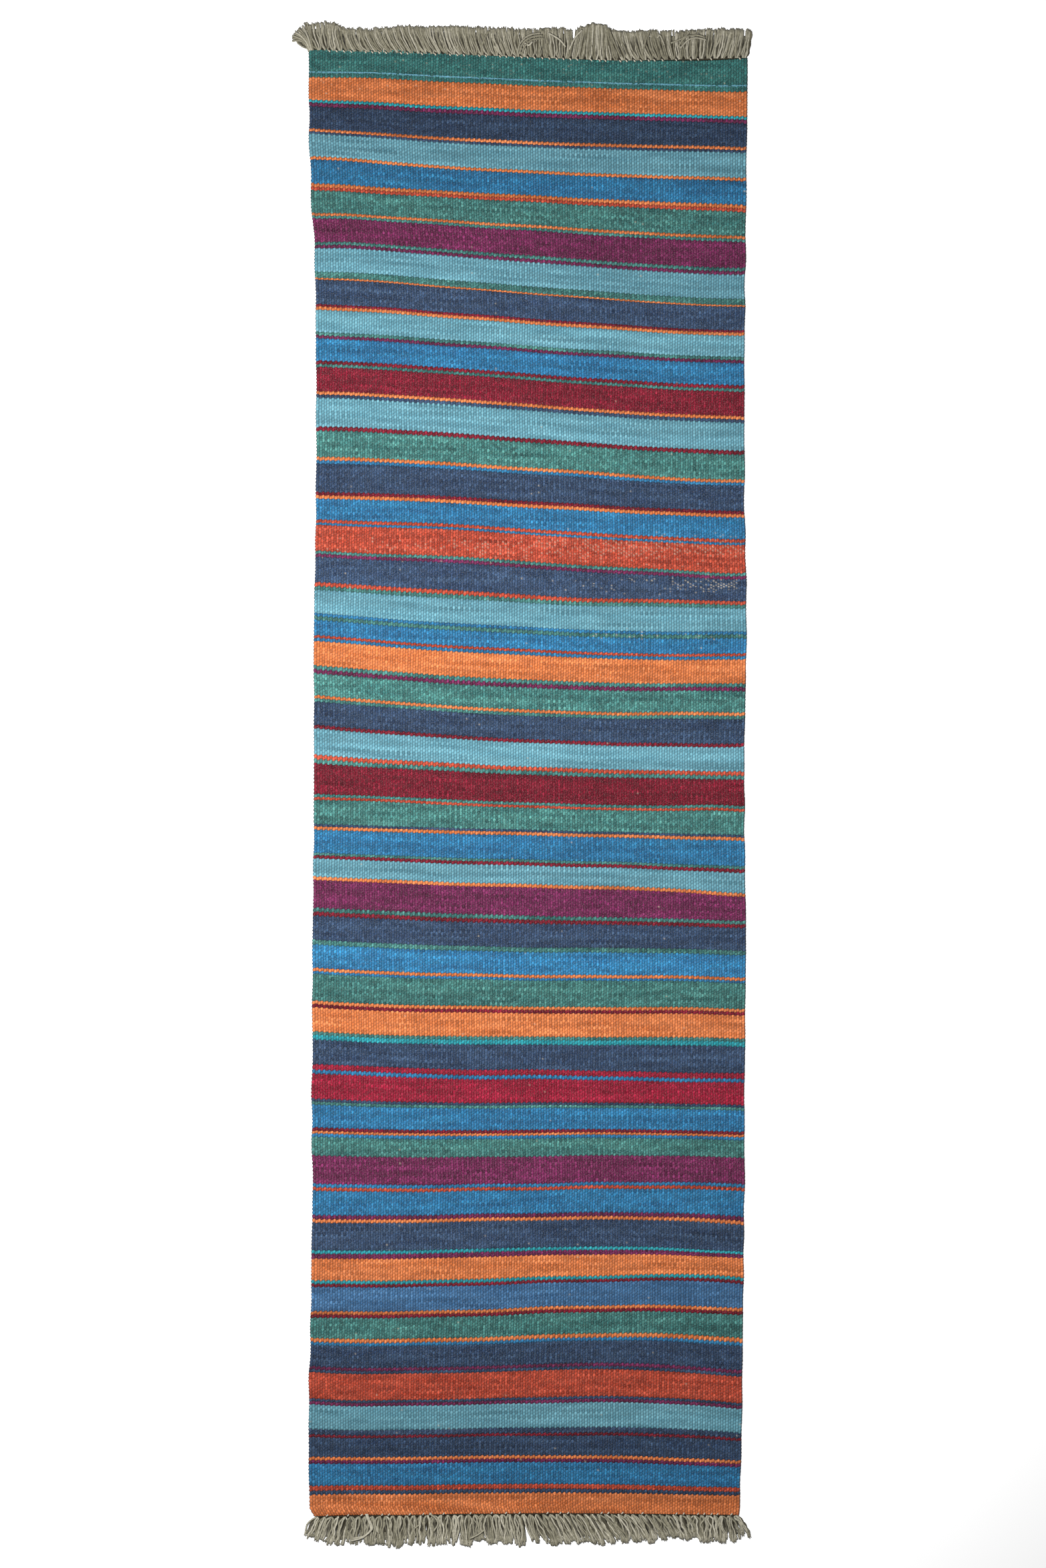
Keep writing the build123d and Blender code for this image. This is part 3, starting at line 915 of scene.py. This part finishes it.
# strands that lie across the others, as (x, y, z) in millimetres
EXTRAS = {
    "far": [
        [(-296.5, 1015, 2), (-301, 1025, 3.5), (-309, 1030, 4), (-320, 1030, 3)],
        [(-292, 1018, 2), (-294, 1034, 3), (-297, 1046, 3), (-300, 1056, 2)],
        [(-296, 1016, 2), (-304, 1028, 3), (-311, 1032.5, 3), (-320, 1034, 2)],
        [(-295, 1017, 2), (-302, 1029, 3), (-309, 1036, 3), (-318, 1040, 2)],
        [(-294, 1017, 2), (-300, 1030, 3), (-306, 1039, 3), (-313, 1045, 2)],
        [(-296, 1017, 2.5), (-304, 1029, 3.5), (-311, 1034, 4), (-320, 1037, 3)],
        [(-295, 1017, 2.5), (-301, 1029, 4), (-308, 1037, 4), (-316, 1042, 3)],
        [(-294, 1017, 2.5), (-299, 1031, 4), (-305, 1041, 4), (-311, 1047, 3)],
        [(-293, 1017, 2.5), (-297, 1032, 4), (-301, 1042, 4), (-306, 1051, 3)],
        [(-291, 1017, 2.5), (-294, 1032, 4), (-298, 1044, 4), (-303, 1055, 3)],
        [(-57, 1024, 2), (-52, 1036, 4), (-47, 1044, 4)],
        [(-8, 1012, 3), (-4, 1026, 4.5), (7, 1037, 4.5), (24, 1041, 4)],
        [(-5, 1012, 3), (-1, 1025, 4.5), (9, 1034, 4.5), (27, 1038, 4)],
        [(-2, 1012, 3), (3, 1023, 4), (12, 1031, 4.5), (29, 1034, 3.5)],
        [(1, 1028, 3), (8, 1024, 4), (13, 1029, 4)],
        [(59, 1022, 3), (50, 1032, 4.5), (35, 1041, 4)],
        [(64, 1018, 3), (72, 1034, 4.5), (82, 1045, 4)],
        [(135, 1008, 3), (128, 1024, 4.5), (118, 1048, 4)],
        [(165, 1010, 3), (170, 1030, 4.5), (176, 1045, 4)],
        [(196, 1024, 3), (190, 1037, 4.5), (186, 1034, 4)],
        [(215, 1022, 3), (224, 1034, 4.5), (238, 1038, 4.5), (252, 1035, 4)],
        [(218, 1020, 3), (229, 1031, 4.5), (241, 1034, 4.5), (254, 1031, 4)],
        [(205, 1027, 3.5), (222, 1034, 4.5), (232, 1044, 4)],
    ],
    "near": [
        [(-216, -1012, 3), (-213, -1020, 4), (-209, -1032, 4.5), (-220, -1042, 4.5), (-236, -1046, 4)],
        [(-218, -1012, 3), (-214, -1021, 4), (-211, -1033, 4.5), (-222, -1044, 4.5), (-238, -1049, 4)],
        [(-130, -1011, 3), (-121, -1018, 4), (-118, -1026, 4.5), (-124, -1036, 4)],
        [(-54, -1034, 4), (-62, -1040, 4.5), (-74, -1046, 4)],
        [(-144, -1027, 3.5), (-151, -1033, 4.5), (-149, -1042, 4)],
    ],
}


fringe_pieces = {"far": [], "near": []}
fringe("far", FRINGES["far"], 1)
fringe("near", FRINGES["near"], -1)
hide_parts("warps")

# ---- the stripes and fringes go with the bands next to them ----
order = list(dict.fromkeys(pick_owner))
goes_with = {}
last_band = order[0]
for node_name in order:
    if node_name.endswith("_stripes"):
        goes_with.setdefault(last_band, []).append(weft_pieces[node_name])
    else:
        last_band = node_name
goes_with.setdefault(order[0], []).extend(fringe_pieces["far"])
goes_with.setdefault(last_band, []).extend(fringe_pieces["near"])
for node_name in order:
    if node_name.endswith("_stripes"):
        continue

# ---- floor and light ----
floor_mesh = bpy.data.meshes.new("floor")
floor_mesh.from_pydata([(-6, -6, 0), (6, -6, 0), (6, 6, 0), (-6, 6, 0)], [], [(0, 1, 2, 3)])
floor = bpy.data.objects.new("floor", floor_mesh)
bpy.context.scene.collection.objects.link(floor)
floor_material, floor_tree = node_tree("pale_floor")
floor_shader = floor_tree.nodes["Principled BSDF"]
floor_shader.inputs["Base Color"].default_value = (0.98, 0.98, 0.98, 1)
floor_shader.inputs["Roughness"].default_value = 0.9
floor_mesh.materials.append(floor_material)

# the softbox's place and power were set after a program's fit of the photo's brightness across the rug
SOFTBOX_PLACE = (-0.41, 0.13, 1.75)
SOFTBOX_SIZE = 0.9
SOFTBOX_POWER = 77.0
FILL_LIGHT = 0.2
softbox_data = bpy.data.lights.new("softbox", "AREA")
softbox_data.shape = "SQUARE"
softbox_data.size = SOFTBOX_SIZE
softbox_data.energy = SOFTBOX_POWER
softbox = bpy.data.objects.new("softbox", softbox_data)
softbox.location = SOFTBOX_PLACE
softbox.visible_camera = False
bpy.context.scene.collection.objects.link(softbox)

world = bpy.data.worlds.new("studio")
world.use_nodes = True
world.node_tree.nodes["Background"].inputs[0].default_value = (1, 1, 1, 1)
world.node_tree.nodes["Background"].inputs[1].default_value = FILL_LIGHT
bpy.context.scene.world = world
